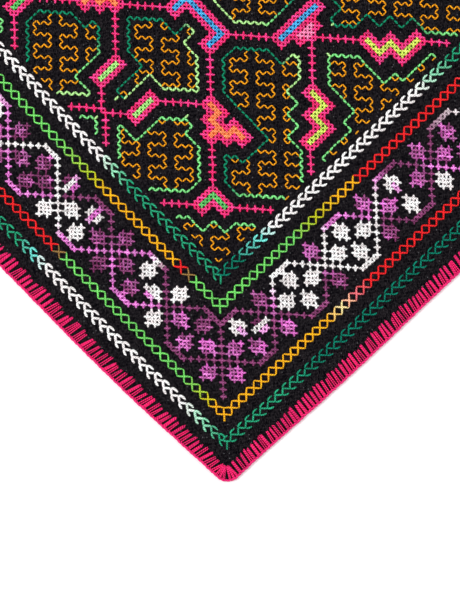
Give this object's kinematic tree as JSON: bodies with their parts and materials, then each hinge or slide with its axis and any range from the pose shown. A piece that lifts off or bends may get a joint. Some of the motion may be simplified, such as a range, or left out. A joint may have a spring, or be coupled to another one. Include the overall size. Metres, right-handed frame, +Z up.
{
  "type": "shipibo embroidered cloth",
  "caption": "Flat rounded-square black cotton cloth with a stitched border, a band of crossing strands, a maze-like network in the middle and a thick blanket-stitch edge.",
  "frame": {"origin": "middle of the underside, on the surface that the cloth lies on", "axes": "+X and +Y along the weave, X being the longer side, +Z up from the underside to the embroidered face"},
  "size_m": [0.3092, 0.293, 0.0021],
  "materials": {
    "cotton": "matte black woven cotton",
    "edging_yarn": "soft crimson yarn",
    "network_yarn": "soft pink yarn",
    "maze_yarn": "soft golden yarn",
    "outline_yarn": "soft green shaded yarn",
    "band_yarn": "soft yarn shaded from white to purple",
    "row_yarn": "soft shaded yarn, green, gold and red"
  },
  "bodies": {
    "root": {"cloth": "cotton", "edging_front": "edging_yarn", "edging_right": "edging_yarn", "edging_back": "edging_yarn", "edging_left": "edging_yarn"}
  },
  "joints": []
}
